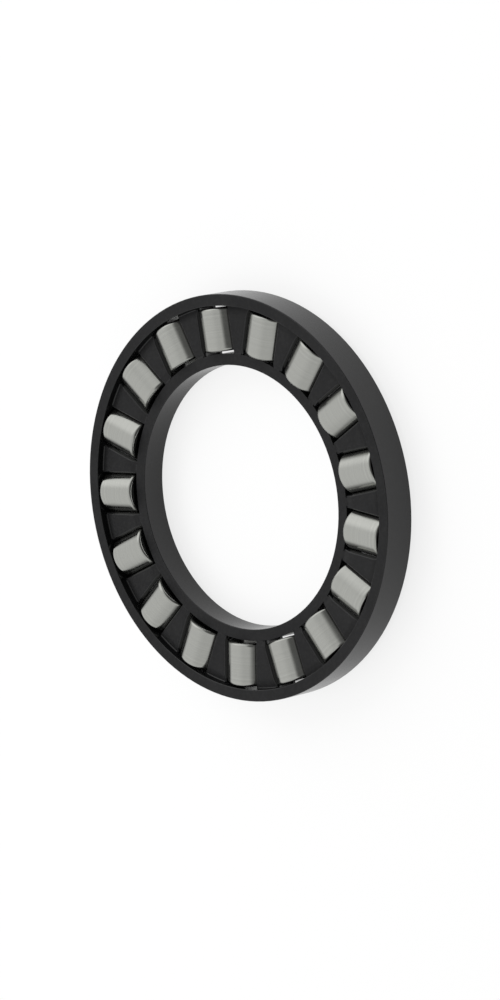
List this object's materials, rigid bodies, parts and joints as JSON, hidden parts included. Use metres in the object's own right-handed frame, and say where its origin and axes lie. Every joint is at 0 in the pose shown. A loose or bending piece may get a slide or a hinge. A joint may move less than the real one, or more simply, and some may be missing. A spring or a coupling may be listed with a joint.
{
  "type": "thrust roller cage assembly",
  "caption": "Axial bearing cage: a flat moulded ring with radial pockets that hold free-turning steel rollers standing just past both faces.",
  "frame": {"origin": "on the ring's axis, in the plane of the roller axes, halfway between the two raceway planes", "axes": "+Z along the ring's axis, out of the face that the rollers snap into; -Y out along roller_01; the other rollers follow counter-clockwise seen from +Z"},
  "size_m": [0.0466, 0.0466, 0.005],
  "materials": {
    "cage_polyamide": "black glass-filled polyamide, fine satin as moulded",
    "roller_steel": "hardened bearing steel, finely ground round the barrel"
  },
  "bodies": {
    "cage": {"cage": "cage_polyamide"},
    "roller_01": {"roller_01": "roller_steel"},
    "roller_02": {"roller_02": "roller_steel"},
    "roller_03": {"roller_03": "roller_steel"},
    "roller_04": {"roller_04": "roller_steel"},
    "roller_05": {"roller_05": "roller_steel"},
    "roller_06": {"roller_06": "roller_steel"},
    "roller_07": {"roller_07": "roller_steel"},
    "roller_08": {"roller_08": "roller_steel"},
    "roller_09": {"roller_09": "roller_steel"},
    "roller_10": {"roller_10": "roller_steel"},
    "roller_11": {"roller_11": "roller_steel"},
    "roller_12": {"roller_12": "roller_steel"},
    "roller_13": {"roller_13": "roller_steel"},
    "roller_14": {"roller_14": "roller_steel"},
    "roller_15": {"roller_15": "roller_steel"},
    "roller_16": {"roller_16": "roller_steel"},
    "roller_17": {"roller_17": "roller_steel"}
  },
  "joints": [
    {"name": "roller_01_spin", "type": "hinge", "parent": "cage", "child": "roller_01", "pos_m": [0, -0.01915, 0], "axis": [0, -1, 0], "continuous": true},
    {"name": "roller_02_spin", "type": "hinge", "parent": "cage", "child": "roller_02", "pos_m": [0.00692, -0.01786, 0], "axis": [0.3612, -0.9325, 0], "continuous": true},
    {"name": "roller_03_spin", "type": "hinge", "parent": "cage", "child": "roller_03", "pos_m": [0.0129, -0.01415, 0], "axis": [0.6737, -0.739, 0], "continuous": true},
    {"name": "roller_04_spin", "type": "hinge", "parent": "cage", "child": "roller_04", "pos_m": [0.01714, -0.00854, 0], "axis": [0.8952, -0.4457, 0], "continuous": true},
    {"name": "roller_05_spin", "type": "hinge", "parent": "cage", "child": "roller_05", "pos_m": [0.01907, -0.00177, 0], "axis": [0.9957, -0.0923, 0], "continuous": true},
    {"name": "roller_06_spin", "type": "hinge", "parent": "cage", "child": "roller_06", "pos_m": [0.01842, 0.00524, 0], "axis": [0.9618, 0.2737, 0], "continuous": true},
    {"name": "roller_07_spin", "type": "hinge", "parent": "cage", "child": "roller_07", "pos_m": [0.01528, 0.01154, 0], "axis": [0.798, 0.6026, 0], "continuous": true},
    {"name": "roller_08_spin", "type": "hinge", "parent": "cage", "child": "roller_08", "pos_m": [0.01008, 0.01628, 0], "axis": [0.5264, 0.8502, 0], "continuous": true},
    {"name": "roller_09_spin", "type": "hinge", "parent": "cage", "child": "roller_09", "pos_m": [0.00352, 0.01882, 0], "axis": [0.1837, 0.983, 0], "continuous": true},
    {"name": "roller_10_spin", "type": "hinge", "parent": "cage", "child": "roller_10", "pos_m": [-0.00352, 0.01882, 0], "axis": [-0.1837, 0.983, 0], "continuous": true},
    {"name": "roller_11_spin", "type": "hinge", "parent": "cage", "child": "roller_11", "pos_m": [-0.01008, 0.01628, 0], "axis": [-0.5264, 0.8502, 0], "continuous": true},
    {"name": "roller_12_spin", "type": "hinge", "parent": "cage", "child": "roller_12", "pos_m": [-0.01528, 0.01154, 0], "axis": [-0.798, 0.6026, 0], "continuous": true},
    {"name": "roller_13_spin", "type": "hinge", "parent": "cage", "child": "roller_13", "pos_m": [-0.01842, 0.00524, 0], "axis": [-0.9618, 0.2737, 0], "continuous": true},
    {"name": "roller_14_spin", "type": "hinge", "parent": "cage", "child": "roller_14", "pos_m": [-0.01907, -0.00177, 0], "axis": [-0.9957, -0.0923, 0], "continuous": true},
    {"name": "roller_15_spin", "type": "hinge", "parent": "cage", "child": "roller_15", "pos_m": [-0.01714, -0.00854, 0], "axis": [-0.8952, -0.4457, 0], "continuous": true},
    {"name": "roller_16_spin", "type": "hinge", "parent": "cage", "child": "roller_16", "pos_m": [-0.0129, -0.01415, 0], "axis": [-0.6737, -0.739, 0], "continuous": true},
    {"name": "roller_17_spin", "type": "hinge", "parent": "cage", "child": "roller_17", "pos_m": [-0.00692, -0.01786, 0], "axis": [-0.3612, -0.9325, 0], "continuous": true}
  ]
}
